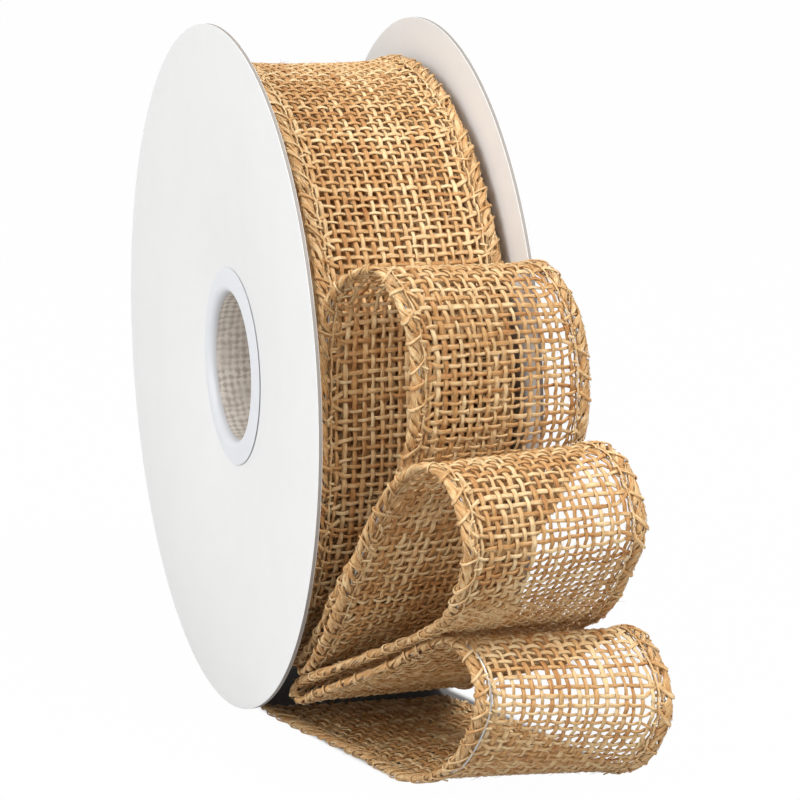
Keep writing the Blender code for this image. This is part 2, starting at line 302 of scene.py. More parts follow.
def card_disc(node, side, dish, bend):
    """A disc with rounded cut edges, its outer ring flat, its middle drawn in and its far half bent back."""
    low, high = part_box(node)
    rim_radius = (high.x - low.x) / 2
    flat = (low.y if side < 0 else high.y) - axle[1] - side * DISC_THICKNESS
    line = [(DISC_HOLE, flat - side * dish)]
    for step in range(DISH_STEPS + 1):
        part_way = step / DISH_STEPS
        radius = DISH_START + (rim_radius - FLAT_RING - DISH_START) * part_way
        line.append((radius, flat - side * dish * (1 - part_way) ** 2))
    line += [(rim_radius - ring, flat) for ring in EDGE_RINGS]
    rounding = []
    for step in range(EDGE_STEPS + 1):
        turn = math.pi / 2 * step / EDGE_STEPS
        depth = EDGE_ROUNDING * (1 - math.cos(turn))
        rounding.append((rim_radius - EDGE_ROUNDING * (1 - math.sin(turn)), depth))
    near = [(radius, flat + side * depth) for radius, depth in rounding]
    far = [(radius, flat + side * (DISC_THICKNESS - depth)) for radius, depth in reversed(rounding)]
    plies = [(rim_radius, flat + side * depth) for depth in (PLY_WHITE, DISC_THICKNESS - PLY_WHITE)]
    back = [(radius, y + side * DISC_THICKNESS) for radius, y in reversed(line)]
    ply_share = [0.0] * (len(line) + len(near)) + [1.0] * len(plies) + [0.0] * (len(far) + len(back))
    profile = line + near + plies + far + back
    disc = turned("visual_" + node, profile, DISC_SEGMENTS, card, {"ply": ply_share})
    for vertex in disc.data.vertices:
        x, z = vertex.co.x - axle[0], vertex.co.z - axle[2]
        radius = math.hypot(x, z)
        share = REAR_FLARE + (1 - REAR_FLARE) * ((1 - x / radius) / 2) ** 2
        vertex.co.y += bend * share * max(0.0, radius - DISH_START) / (rim_radius - DISH_START)
    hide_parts(node)


card_disc("front_disc", -1, FRONT_DISH, 0.0)
card_disc("rear_disc", 1, REAR_DISH, REAR_BEND)

# Inner turns: open-weave jute ribbon wound tightly on the hub, layer on layer. Only the top layer is woven
# here, because it shows through the last turn, and the layers below it are one plain core.
RIBBON_WIDTH = 38 * MM
CLOTH_THICKNESS = 1.0 * MM
RIBBON_OFFSET = 1 * MM
FRONT_EDGE = RIBBON_OFFSET - RIBBON_WIDTH / 2
ROLL_RADIUS = 62 * MM
ROLL_BORE = 17.4 * MM
ROLL_SAG = 1.1 * MM
SAG_CURVE = 3
ROLL_DRAW = 0.988
ROLL_LEAN = 0.7 * MM
ROLL_DRIFT = 2.6 * MM
DRIFT_MIDDLE = math.radians(-60)
TURN_RISE = 1.2 * MM
TURN_END = math.radians(-28)
TURN_SPAN = math.radians(364)
TURN_POINTS = 1200
CORE_TURNS_DOWN = 3
CORE_INSET = 1.6 * MM
CORE_CHAMFER = 1 * MM
CORE_SEGMENTS = 180
CORE_TONE = 0.1
UNDER_STEP = 0.9 * MM
# How much paler the jute of the layer under the last turn is drawn: painted light in the shade of that turn
UNDER_PAINTED_LIGHT = 0.14

# The yarns: their sizes and ranges, and the wavelength and amount of each waver, twist and slub
YARN_PITCH = 1.8 * MM
YARN_WIDTH = 0.8 * MM
YARN_THICKNESS = 0.44 * MM
YARN_LIFT = 0.52
YARN_STEP = 0.6 * MM
WARP_COUNT = 18
WARP_WIDTHS = (0.85, 1.2)
WARP_SCATTER = 0.07 * MM
WARP_WAVER = (60 * MM, 0.16 * MM)
WARP_TWIST = (25 * MM, 0.35)
WARP_SLUBS = (22 * MM, 0.16)
WEFT_WIDTHS = (0.78, 1.15)
WEFT_SCATTER = 0.1 * MM
WEFT_WAVER = (34 * MM, 0.16 * MM)
WEFT_SLUBS = (18 * MM, 0.16)
WANDER_STRETCHES = (1.0, 0.57, 0.31)
CLOTH_START = 3.2 * MM
WEFT_START = 0.9 * MM
STITCH_PITCH = 4.2 * MM
STITCH_LINE = 2.95 * MM
STITCH_REACH = 6.0 * MM
STITCH_DRAW = 0.88
DRAW_CURVE = 1.5
random = np.random.default_rng(7)

JUTE_SHADE = (0.20, 0.064, 0.015)
JUTE_BROWN = (0.43, 0.18, 0.051)
JUTE_TAN = (0.63, 0.352, 0.134)
JUTE_STRAW = (0.86, 0.65, 0.365)
JUTE_STOPS = ((0.08, JUTE_SHADE), (0.3, JUTE_BROWN), (0.52, JUTE_TAN), (0.78, JUTE_STRAW))
JUTE_DEPTH = 0.38
TONE_SHARE = 0.3
STREAK_SHARE = 0.8
PATCH_SHARE = 0.8
JUTE_ROUGHNESS = 0.4
STREAK_ROUGHER = 0.25

# How often these change in a metre of yarn and in a turn round it
STREAK_SCALE = (190, 4, 1)
PATCH_SCALE = (45, 0.4, 1)
FIBRE_SCALE = (420, 16, 1)


def jute_finish(name, lift):
    """Split jute fibre: streaks run along each yarn, and whole yarns range from straw to red-brown."""
    made, shader, start = new_finish(name, Specular_IOR_Level=0.4)
    yarn = start.add("UVMap", {"uv_map": "yarn"})
    tone = start.add("Attribute", {"attribute_name": "tone"}, output="Fac")
    streaks = yarn.stretched(*STREAK_SCALE).noise(Detail=3.0)
    patches = yarn.stretched(*PATCH_SCALE).noise(Detail=2.0)
    fibres = yarn.stretched(*FIBRE_SCALE).noise(Detail=2.0)
    level = tone * TONE_SHARE + streaks * STREAK_SHARE + patches * PATCH_SHARE - (JUTE_DEPTH - lift)
    colour = start.add("ValToRGB", {"stops": JUTE_STOPS}, {"Fac": level})
    feed(shader, Base_Color=colour, Roughness=JUTE_ROUGHNESS + streaks * STREAK_ROUGHER)
    split = start.add("Bump", sockets={"Strength": 0.7, "Distance": 0.12 * MM, "Height": fibres})
    feed(shader, Normal=split)
    return made


class RibbonPath:
    """How a stretch of ribbon lies: its front edge, the line across it and the way out of it, along it."""

    def __init__(self, edge, across, out, sag=0.0):
        self.sag = sag
        middle = edge + across * RIBBON_WIDTH / 2
        steps = np.linalg.norm(np.diff(middle, axis=0), axis=1)
        self.along = np.concatenate(((0,), np.cumsum(steps)))
        self.rows = np.hstack((edge, across, out))
        self.length = self.along[-1]

    def parts(self, along):
        """Front edge, line across and way out at these lengths."""
        found = np.stack([np.interp(along, self.along, column) for column in self.rows.T], -1)
        return found[..., :3], found[..., 3:6], found[..., 6:]

    def at(self, along, place, height):
        """Points at these lengths, places from the front edge and heights out of the cloth."""
        edge, across, out = self.parts(along)
        height = height - self.sag * (1 - np.abs(2 * place / RIBBON_WIDTH - 1) ** SAG_CURVE)
        return edge + across * place[..., None] + out * height[..., None]


def oval(sides):
    """A rounded outline."""
    turn = np.arange(sides) * math.tau / sides
    return np.stack((np.cos(turn), np.sin(turn)), -1) / 2


# A yarn's outline, with a groove on each face where its fibres split in two
SPLIT_OVAL = np.array((
    (1, 0),
    (0.62, 0.8),
    (0, 0.62),
    (-0.62, 0.8),
    (-1, 0),
    (-0.62, -0.8),
    (0, -0.62),
    (0.62, -0.8),
)) / 2

# A plainer one, for fine fibres and for yarns that are hardly seen
PLAIN_OVAL = oval(4)

# Two maps go over the strands. One runs along each yarn, and starts somewhere else on every yarn and group.
# The other gives each face a place of its own in rows of segments, with the caps under their segment.
YARN_SHIFT = 0.731
GROUP_SHIFT = 3.0
ROW_LEAST = 8
ROW_SHAPE = 3.0
SEGMENT_LOW = 0.12
SEGMENT_HEIGHT = 0.76
CAP_CORNERS = ((0.1, 0.02), (0.9, 0.02), (0.9, 0.08), (0.1, 0.08))


def tubes(centre, up, width, height, outline):
    """Points, faces and map places of capped strands: a row of centres and of ways up for each strand."""
    count, rings = centre.shape[:2]
    sides = len(outline)
    heading = np.gradient(centre, axis=1)
    side = np.cross(up, heading)
    side /= np.linalg.norm(side, axis=-1, keepdims=True)
    up = np.cross(heading, side)
    up /= np.linalg.norm(up, axis=-1, keepdims=True)
    wide = np.broadcast_to(width, (count, rings))[..., None] * outline[:, 0]
    high = np.broadcast_to(height, (count, rings))[..., None] * outline[:, 1]
    points = centre[:, :, None] + side[:, :, None] * wide[..., None] + up[:, :, None] * high[..., None]
    index = np.arange(count * rings * sides).reshape(count, rings, sides)
    beside = np.roll(index, -1, axis=2)
    walls = np.stack((index[:, :-1], beside[:, :-1], beside[:, 1:], index[:, 1:]), -1).reshape(-1, 4)
    left = np.arange(sides // 2)
    right = sides - 1 - left
    cap = np.stack((left[:-1], left[1:], right[1:], right[:-1]), -1)
    ends = np.concatenate((index[:, 0][:, cap[:, ::-1]], index[:, -1][:, cap])).reshape(-1, 4)

    steps = np.linalg.norm(np.diff(centre, axis=1), axis=-1)
    reach = np.concatenate((np.zeros((count, 1)), np.cumsum(steps, 1)), 1)
    reach = reach + np.arange(count)[:, None] * YARN_SHIFT
    yarn = np.empty((count, rings - 1, sides, 4, 2))
    folded = np.empty_like(yarn)
    segments = count * (rings - 1)
    row_length = max(ROW_LEAST, round(math.sqrt(segments * ROW_SHAPE)))
    row_count = math.ceil(segments / row_length)
    segment = np.arange(segments).reshape(count, rings - 1)
    for corner, (ring_step, side_step) in enumerate(((0, 0), (0, 1), (1, 1), (1, 0))):
        turn = (np.arange(sides) + side_step) / sides
        yarn[..., corner, 0] = reach[:, ring_step:rings - 1 + ring_step, None]
        yarn[..., corner, 1] = turn
        folded[..., corner, 0] = ((segment % row_length + ring_step) / row_length)[..., None]
        in_row = SEGMENT_LOW + SEGMENT_HEIGHT * turn
        folded[..., corner, 1] = ((segment // row_length)[..., None] + in_row) / row_count
    cap_count = len(ends) // (2 * count)
    cap_yarn = np.zeros((len(ends), 4, 2))
    cap_yarn[..., 0] = np.repeat(np.concatenate((reach[:, 0], reach[:, -1])), cap_count)[:, None]
    cap_folded = np.empty((len(ends), 4, 2))
    cap_segment = np.repeat(np.concatenate((segment[:, 0], segment[:, -1])), cap_count)
    for corner, (x, y) in enumerate(CAP_CORNERS):
        cap_folded[:, corner, 0] = (cap_segment % row_length + x) / row_length
        cap_folded[:, corner, 1] = (cap_segment // row_length + y) / row_count
    maps = {
        "yarn": np.concatenate((yarn.reshape(-1, 4, 2), cap_yarn)),
        "OFBake": np.concatenate((folded.reshape(-1, 4, 2), cap_folded)),
    }
    return points.reshape(-1, 3), np.concatenate((walls, ends)), maps


def strand_piece(name, groups, look, body):
    """One piece from groups of strands made by tubes(), with a tone for each strand, kept above the floor."""
    points, quads, tones = [], [], []
    maps = {"yarn": [], "OFBake": []}
    shares = np.array([len(group[1]) for group, tone in groups], float)
    shares /= shares.sum()
    first = 0
    for number, ((some_points, some_quads, some_maps), tone) in enumerate(groups):
        points.append(some_points)
        quads.append(some_quads + first)
        tones.append(np.repeat(tone, len(some_points) // len(tone)))
        maps["yarn"].append(some_maps["yarn"] + (0.0, GROUP_SHIFT * number))
        maps["OFBake"].append(some_maps["OFBake"] * (1.0, shares[number]) + (0.0, shares[:number].sum()))
        first += len(some_points)
    joined = {key: np.concatenate(value) for key, value in maps.items()}
    every_point = np.concatenate(points)
    every_point[:, 2] = np.maximum(every_point[:, 2], 0)
    values = {"tone": np.concatenate(tones)}
    return quad_piece(name, every_point, np.concatenate(quads), look, body, joined, values)


def wander(count, along, wavelength, amount):
    """A slow random drift for each strand, smooth along it."""
    total = np.zeros((count, along.shape[-1]))
    for stretch in WANDER_STRETCHES:
        phase = random.uniform(0, math.tau, (count, 1))
        total += np.sin(along / (wavelength * stretch) * math.tau + phase)
    return total * amount / 2


def weave(name, path, begin, end, look, body, step=YARN_STEP, outline=SPLIT_OVAL):
    """Open plain weave on a stretch of ribbon: warps and wefts, each over one and under the next."""
    lift = YARN_THICKNESS * YARN_LIFT
    warp_pitch = (RIBBON_WIDTH - 2 * CLOTH_START) / WARP_COUNT
    weft_number = np.arange(math.ceil(begin / YARN_PITCH), math.floor(end / YARN_PITCH))
    warp_number = np.arange(WARP_COUNT)

    along = np.linspace(begin, end, round((end - begin) / step) + 1)
    place = CLOTH_START + warp_pitch * (warp_number + 0.5)
    place = place[:, None] + wander(WARP_COUNT, along, *WARP_WAVER)
    place = place + random.normal(0, WARP_SCATTER, (WARP_COUNT, 1))
    height = lift * np.cos(math.pi * (along / YARN_PITCH - 0.5) + math.pi * warp_number[:, None])
    lengths = np.broadcast_to(along, place.shape)
    centre = path.at(lengths, place, height)
    sideways, out = path.parts(lengths)[1:]
    out = out + sideways * wander(WARP_COUNT, along, *WARP_TWIST)[..., None]
    width = random.uniform(*WARP_WIDTHS, (WARP_COUNT, 1)) + wander(WARP_COUNT, along, *WARP_SLUBS)
    warps = tubes(centre, out, YARN_WIDTH * width, YARN_THICKNESS, outline)

    count = len(weft_number)
    weft_steps = round((RIBBON_WIDTH - 2 * WEFT_START) / step)
    across = np.linspace(WEFT_START, RIBBON_WIDTH - WEFT_START, weft_steps + 1)
    lengths = YARN_PITCH * (weft_number[:, None] + 0.5) + wander(count, across, *WEFT_WAVER)
    lengths = lengths + random.normal(0, WEFT_SCATTER, (count, 1))
    from_edge = np.minimum(across, RIBBON_WIDTH - across)
    pull = np.clip((STITCH_REACH - from_edge) / (STITCH_REACH - STITCH_LINE), 0, 1)
    drawn_in = STITCH_DRAW * pull ** DRAW_CURVE
    knots = (np.floor(lengths / STITCH_PITCH) + 0.5) * STITCH_PITCH
    lengths = np.clip(lengths + (knots - lengths) * drawn_in, begin, end)
    phase = math.pi * ((across - CLOTH_START) / warp_pitch - 0.5) + math.pi * weft_number[:, None]
    centre = path.at(lengths, np.broadcast_to(across, lengths.shape), -lift * np.cos(phase))
    width = random.uniform(*WEFT_WIDTHS, (count, 1)) + wander(count, across, *WEFT_SLUBS)
    wefts = tubes(centre, path.parts(lengths)[2], YARN_WIDTH * width, YARN_THICKNESS, outline)

    tones = random.uniform(0, 1, WARP_COUNT), random.uniform(0, 1, count)
    cloth = strand_piece(name, [(warps, tones[0]), (wefts, tones[1])], look, body)
    return cloth


def round_axle(angle, radius, y):
    """Points at these angles and radii round the axle, and this far along it."""
    y = np.broadcast_to(y, angle.shape)
    return np.stack((radius * np.cos(angle), y, radius * np.sin(angle)), -1) + axle


def wound_path(turns_below):
    """The last turn's path, or that of a turn below it, on one spiral."""
    from_end = turns_below + np.linspace(1, 0, TURN_POINTS)
    angle = TURN_END - from_end * TURN_SPAN
    radius = ROLL_RADIUS - CLOTH_THICKNESS / 2 - TURN_RISE * from_end
    out = round_axle(angle, np.ones(len(angle)), 0.0) - axle
    drift = ROLL_DRIFT * np.maximum(np.cos(angle - DRIFT_MIDDLE), 0) ** 2
    edge = round_axle(angle, radius + ROLL_LEAN, FRONT_EDGE - drift)
    across = np.array((0.0, ROLL_DRAW, 0.0)) - out * ROLL_LEAN / RIBBON_WIDTH
    return RibbonPath(edge, across, out, ROLL_SAG)


jute = jute_finish("jute", 0.0)
core_top = ROLL_RADIUS - CLOTH_THICKNESS / 2 - CORE_TURNS_DOWN * TURN_RISE
core_front = FRONT_EDGE + CORE_INSET
core_rear = FRONT_EDGE + RIBBON_WIDTH - CORE_INSET
core_profile = (
    (ROLL_BORE, core_front),
    (core_top - CORE_CHAMFER, core_front),
    (core_top, core_front + CORE_CHAMFER),
    (core_top, core_rear - CORE_CHAMFER),
    (core_top - CORE_CHAMFER, core_rear),
    (ROLL_BORE, core_rear),
)
core = turned("inner_turns", core_profile, CORE_SEGMENTS, jute, {"tone": [CORE_TONE] * len(core_profile)})
core.data.uv_layers["wall"].name = "yarn"
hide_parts("wound_ribbon")

# The layer under the last turn gets a paler copy of the jute, so that it shows lighter through the gaps:
# painted light where the last turn shades it
under_path = wound_path(1)
under_lit_look = jute_finish("jute_below", UNDER_PAINTED_LIGHT)
under_cloth = weave(
    "inner_turn_cloth", under_path, 0.0, under_path.length, under_lit_look, "spool", UNDER_STEP, PLAIN_OVAL
)
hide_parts("wound_ribbon")

# Last turn: the layer of the roll that is seen, the same open-weave jute ribbon pulled snug over the turns
# below. It sags between its stiff edges, drifts forward low on the roll, and is drawn here as two halves.
turn_path = wound_path(0)
half_turn = turn_path.length / 2
turn_cloths = []
for number, (begin, end) in enumerate(((0.0, half_turn), (half_turn, turn_path.length))):
    cloth = weave(f"last_turn_cloth_{number + 1}", turn_path, begin, end, jute, "spool")
    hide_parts("outer_turn")
    turn_cloths.append(cloth)

# Bindings of the roll: each edge of the ribbon is overlocked with jute thread over a wire. The thread lies
# along the edge like a three-strand rope, most stitches loop round it, and cut weft ends stick out beside it.
# The bindings of the inner turns show as a plain spiral on each side of the roll.
BINDING_WIDTH = 2.7 * MM
BINDING_THICKNESS = 1.6 * MM
BINDING_STRAW = 0.04

# The threads: their sizes and ranges, with the widths of loops, weft ends and wisps in millimetres
THREAD_ARCH = 0.6
THREAD_OVAL = oval(6)
ROPE_STRANDS = 3
ROPE_LAY = 8.5 * MM
ROPE_STEP = 0.5 * MM
ROPE_ACROSS = 0.8 * MM
ROPE_OUT = 0.42 * MM
ROPE_TWIST = (19 * MM, 0.65)
ROPE_WAVER = (11 * MM, 0.1 * MM)
ROPE_SLUBS = (9 * MM, 0.24)
ROPE_TONES = (0.3, 0.6)
STRAND_WIDTH = 1.12 * MM
STRAND_THICKNESS = 0.66 * MM
LOOP_SHARE = 0.8
LOOP_RINGS = 20
LOOP_LEANS = (0.8 * MM, 3.2 * MM)
LOOP_CLEARANCE = 0.04 * MM
LOOP_HEIGHT = BINDING_THICKNESS / 2 + LOOP_CLEARANCE
LOOP_WIDTHS = (0.4, 0.85)
LOOP_THICKNESS = 0.3 * MM
LOOP_TONES = (0.2, 0.7)
STITCH_RINGS = 9
STITCH_SLANT = 0.3 * MM
STITCH_WAVER = (13 * MM, 0.08 * MM)
STITCH_LOW = 0.2 * MM
STITCH_RISE = 0.34 * MM
STITCH_WIDTH = 0.42 * MM
STITCH_THICKNESS = 0.28 * MM
STITCH_TONE = 0.6
END_SPACING = 1.5 * MM
END_RINGS = 4
END_ROOM = 3 * MM
END_SLANT = 0.6
END_LENGTHS = (0.8 * MM, 1.9 * MM)
END_STARTS = (1.9 * MM, 2.8 * MM)
END_LOW = 0.38 * MM
END_RISES = (0.0, 0.35)
END_WIDTHS = (0.4, 0.65)
END_THICKNESS = 0.3 * MM
END_TONES = (0.5, 1.0)
WISPS_PER_METRE = 2200
WISP_RINGS = 5
WISP_ROOM = 5 * MM
WISP_LENGTHS = (1.5 * MM, 4.0 * MM)
WISP_CURL = (1.0, 0.9)
WISP_LIFTS = (0.0, 0.3)
WISP_WIDTHS = (0.1, 0.26)
WISP_TAPER = 0.5
WISP_THICKNESS = 0.1 * MM
WISP_TONES = (0.1, 1.0)
SPIRAL_STEP = 2.5 * MM
SPIRAL_LEAN = 0.9 * MM
SPIRAL_SWELL = 1.02
SPIRAL_TONE = 0.35

binding_look = jute_finish("binding", BINDING_STRAW)


class BoundEdge:
    """One edge of a stretch of ribbon, with places measured inwards from it."""

    def __init__(self, path, rear):
        self.path = path
        self.rear = rear
        self.length = path.length

    def at(self, along, from_edge, height):
        """Points at these lengths, places in from the edge and heights out of the cloth."""
        return self.path.at(along, RIBBON_WIDTH - from_edge if self.rear else from_edge, height)

    def facing(self, along, inwards, outwards):
        """The way that a strand's upper side faces, from its share inwards and its share out of the cloth."""
        across, out = self.path.parts(along)[1:]
        way_in = -1.0 if self.rear else 1.0
        return across * (way_in * inwards)[..., None] + out * outwards[..., None]


def rope_strands(edge):
    """The strands that twist round each other along the edge."""
    along = np.linspace(0, edge.length, round(edge.length / ROPE_STEP))
    along = np.broadcast_to(along, (ROPE_STRANDS, along.size))
    turn = along / ROPE_LAY * math.tau + np.arange(ROPE_STRANDS)[:, None] * math.tau / ROPE_STRANDS
    turn = turn + wander(ROPE_STRANDS, along, *ROPE_TWIST)
    from_edge = BINDING_WIDTH / 2 + ROPE_ACROSS * np.cos(turn) + wander(ROPE_STRANDS, along, *ROPE_WAVER)
    width = STRAND_WIDTH * (1 + wander(ROPE_STRANDS, along, *ROPE_SLUBS))
    centre = edge.at(along, from_edge, ROPE_OUT * np.sin(turn))
    up = edge.facing(along, ROPE_OUT * np.cos(turn), ROPE_ACROSS * np.sin(turn))
    return tubes(centre, up, width, STRAND_THICKNESS, SPLIT_OVAL)


def stitch_loops(edge, stitches, count):
    """Loops of thread round the edge at some of the stitches, each leaning along it by its own amount."""
    knots = STITCH_PITCH * (random.choice(stitches, (count, 1), replace=False) + 0.5)
    turn = np.broadcast_to(np.linspace(0, math.tau, LOOP_RINGS), (count, LOOP_RINGS))
    lean = random.uniform(*LOOP_LEANS, (count, 1))
    along = np.clip(knots + lean * (1 - np.cos(turn)) / 2, 0, edge.length)
    from_edge = STITCH_LINE / 2 + STITCH_LINE / 2 * np.cos(turn)
    height = LOOP_HEIGHT * np.sign(np.sin(turn)) * np.abs(np.sin(turn)) ** THREAD_ARCH
    up = edge.facing(along, np.cos(turn), np.sin(turn))
    width = random.uniform(*LOOP_WIDTHS, (count, 1)) * MM
    return tubes(edge.at(along, from_edge, height), up, width, LOOP_THICKNESS, THREAD_OVAL)


def stitch_lines(edge, stitches):
    """The two lines of stitches inside the rope, one on each face of the cloth."""
    along = np.linspace(0, stitches * STITCH_PITCH, stitches * STITCH_RINGS + 1)[None]
    part_way = along / STITCH_PITCH % 1.0
    from_edge = STITCH_LINE + STITCH_SLANT * (0.5 - part_way) + wander(1, along, *STITCH_WAVER)
    up = edge.facing(along, np.zeros(along.shape), np.ones(along.shape))
    lines = []
    for face in (-1.0, 1.0):
        height = face * (STITCH_LOW + STITCH_RISE * np.sin(math.pi * part_way) ** THREAD_ARCH)
        centre = edge.at(along, from_edge, height)
        lines.append(tubes(centre, up, STITCH_WIDTH, STITCH_THICKNESS, THREAD_OVAL))
    return lines


def weft_ends(edge, count):
    """Cut ends of wefts that stick out past the stitches, on both faces of the cloth."""
    begin = random.uniform(MM, edge.length - END_ROOM, (count, 1))
    slant = random.normal(0, END_SLANT, (count, 1))
    length = random.uniform(*END_LENGTHS, (count, 1)) * np.linspace(0, 1, END_RINGS)
    face = random.choice((-1.0, 1.0), (count, 1))
    height = face * (END_LOW + random.uniform(*END_RISES, (count, 1)) * length)
    along = begin + length * np.sin(slant)
    from_edge = random.uniform(*END_STARTS, (count, 1)) + length * np.cos(slant)
    up = edge.facing(along, np.zeros(along.shape), np.ones(along.shape))
    width = random.uniform(*END_WIDTHS, (count, 1)) * MM
    return tubes(edge.at(along, from_edge, height), up, width, END_THICKNESS, THREAD_OVAL)


def rope_wisps(edge, count):
    """Fine fibres that lie along the rope and lift off it towards their tips."""
    part_way = np.linspace(0, 1, WISP_RINGS)
    begin = random.uniform(MM, edge.length - WISP_ROOM, (count, 1))
    along = begin + random.uniform(*WISP_LENGTHS, (count, 1)) * part_way
    turn = random.uniform(0, math.tau, (count, 1)) + random.normal(*WISP_CURL, (count, 1)) * part_way
    off = 1.0 + random.uniform(*WISP_LIFTS, (count, 1)) * part_way ** 2
    from_edge = BINDING_WIDTH / 2 + (ROPE_ACROSS + STRAND_THICKNESS / 2) * off * np.cos(turn)
    height = (ROPE_OUT + STRAND_THICKNESS / 2) * off * np.sin(turn)
    up = edge.facing(along, np.cos(turn), np.sin(turn))
    width = random.uniform(*WISP_WIDTHS, (count, 1)) * MM * (1 - WISP_TAPER * part_way)
    return tubes(edge.at(along, from_edge, height), up, width, WISP_THICKNESS, PLAIN_OVAL)


def binding(name, path, rear, body):
    """The overlock along one edge: rope, stitch loops, lines of stitches, weft ends and wisps."""
    edge = BoundEdge(path, rear)
    stitches = math.floor(path.length / STITCH_PITCH)
    loop_count = round(stitches * LOOP_SHARE)
    end_count = round(path.length / END_SPACING)
    wisp_count = round(path.length * WISPS_PER_METRE)
    rope = rope_strands(edge)
    loops = stitch_loops(edge, stitches, loop_count)
    groups = [
        (rope, random.uniform(*ROPE_TONES, ROPE_STRANDS)),
        (loops, random.uniform(*LOOP_TONES, loop_count)),
    ]
    for line in stitch_lines(edge, stitches):
        groups.append((line, [STITCH_TONE]))
    ends = weft_ends(edge, end_count)
    groups.append((ends, random.uniform(*END_TONES, end_count)))
    wisps = rope_wisps(edge, wisp_count)
    groups.append((wisps, random.uniform(*WISP_TONES, wisp_count)))
    made = strand_piece(name, groups, binding_look, body)
    return made


for rear, node in enumerate(("turn_edge_front", "turn_edge_rear")):
    edge = binding("visual_" + node, turn_path, rear, "spool")
    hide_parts(node)

spirals = []
spiral_turns = round((core_top - ROLL_BORE) / BINDING_THICKNESS)
spiral_length = spiral_turns * math.pi * (core_top + ROLL_BORE)
angle = np.linspace(0, spiral_turns * math.tau, round(spiral_length / SPIRAL_STEP))
radius = ROLL_BORE + BINDING_THICKNESS * (0.5 + angle / math.tau)
front_lean = SPIRAL_LEAN * (1 - (radius - ROLL_BORE) / (core_top - ROLL_BORE))
front_y = FRONT_EDGE + BINDING_WIDTH / 2 + front_lean
rear_y = np.full(len(radius), FRONT_EDGE + RIBBON_WIDTH - BINDING_WIDTH / 2)
for y in (front_y, rear_y):
    centre = round_axle(angle, radius, y)[None]
    up = round_axle(angle, np.ones(len(angle)), 0.0)[None] - axle
    spiral = tubes(centre, up, BINDING_WIDTH, BINDING_THICKNESS * SPIRAL_SWELL, THREAD_OVAL)
    spirals.append((spiral, [SPIRAL_TONE]))
inner_bindings = strand_piece("inner_turn_bindings", spirals, binding_look, "spool")
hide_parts("wound_ribbon")

# Free end: about half a metre of the jute ribbon, drawn off the roll and folded into three standing loops.
# They are pinched together at the foot of the roll, and the cut end is tucked under the spool.
FLOOR_LEVEL = 0.95 * MM
ROOT_RADIUS = 63.4 * MM
ROOT_START = math.radians(-35)
ROOT_END = math.radians(3)
ROOT_POINTS = 4
TAIL_STEP = 0.4 * MM
LEAST_STEPS = 3

# The front edge's x from the discs' foremost point, y from the wound ribbon's front edge and z from the floor
# in millimetres, the turn of the line across in degrees, and the rise of that line's rear end in millimetres
ROUTE = (
    # First loop: up from the roll, over, and down behind the second
    (-5.3, -2.4, 86.0, 3.0, -0.3),
    (-3.1, -1.6, 94.0, 8.5, -0.6),
    (1.3, 0.6, 98.7, 11.0, -1.5),
    (7.2, 4.0, 100.8, 11.5, -2.6),
    (12.2, 6.6, 95.6, 11.0, -2.6),
    (13.0, 9.0, 86.0, 11.0, -1.4),
    (10.2, 9.5, 71.5, 8.0, -1.2),
    (6.3, 8.0, 60.5, 7.0, -1.0),
    (3.2, 4.0, 51.0, 6.5, -0.9),
    (-1.5, 0.8, 42.5, 6.0, -0.9),
    (-11.5, -0.3, 31.0, 6.0, -0.8),
    (-22.6, -0.7, 20.7, 6.0, -0.5),
    # Pinch, and the second loop up, over and back along the floor side
    (-25.2, -0.8, 18.4, 6.0, -0.5),
    (-22.4, -0.8, 18.3, 6.0, -0.6),
    (-7.3, -0.6, 30.6, 6.0, -0.8),
    (3.3, -0.2, 43.3, 6.5, -0.8),
    (9.0, 2.6, 55.5, 7.5, -0.6),
    (13.0, 5.2, 62.6, 8.5, -0.2),
    (19.5, 8.2, 67.3, 9.7, 0.0),
    (26.5, 10.7, 65.6, 9.0, -0.2),
    (30.7, 12.7, 55.0, 8.0, -0.2),
    (25.0, 12.2, 42.6, 8.0, 1.5),
    (12.5, 12.8, 35.0, 7.4, -1.4),
    (1.5, 10.4, 29.4, 7.2, -2.2),
    (-16.0, 0.8, 19.6, 7.2, -1.8),
    (-26.5, -0.3, 14.8, 7.0, -1.8),
    # Pinch, and the third loop out, over and back along the floor to the cut end
    (-30.0, -0.6, 11.9, 7.0, -1.8),
    (-27.4, -0.3, 10.9, 7.0, -1.8),
    (-18.4, 0.7, 15.0, 7.2, -1.8),
    (-11.0, 4.2, 19.0, 7.2, -2.8),
    (-2.0, 10.6, 24.8, 6.0, -4.4),
    (3.2, 12.9, 28.4, 3.9, -3.6),
    (9.9, 17.0, 31.8, -0.7, -1.2),
    (16.7, 19.1, 28.0, -3.3, -1.8),
    (18.0, 19.9, 22.0, -7.0, -2.9),
    (12.2, 18.4, 11.0, -6.5, -3.8),
    (5.2, 16.3, 4.4, -1.0, -2.8),
    (-5.3, 13.1, 1.0, 3.0, 0.0),
    (-20.0, 9.9, 0.9, 4.0, 0.0),
    (-39.0, 4.4, 0.9, 2.0, 0.0),
    (-50.0, 1.8, 0.9, -2.0, 0.0),
    (-55.5, 0.8, 0.9, -9.0, 0.0),
)


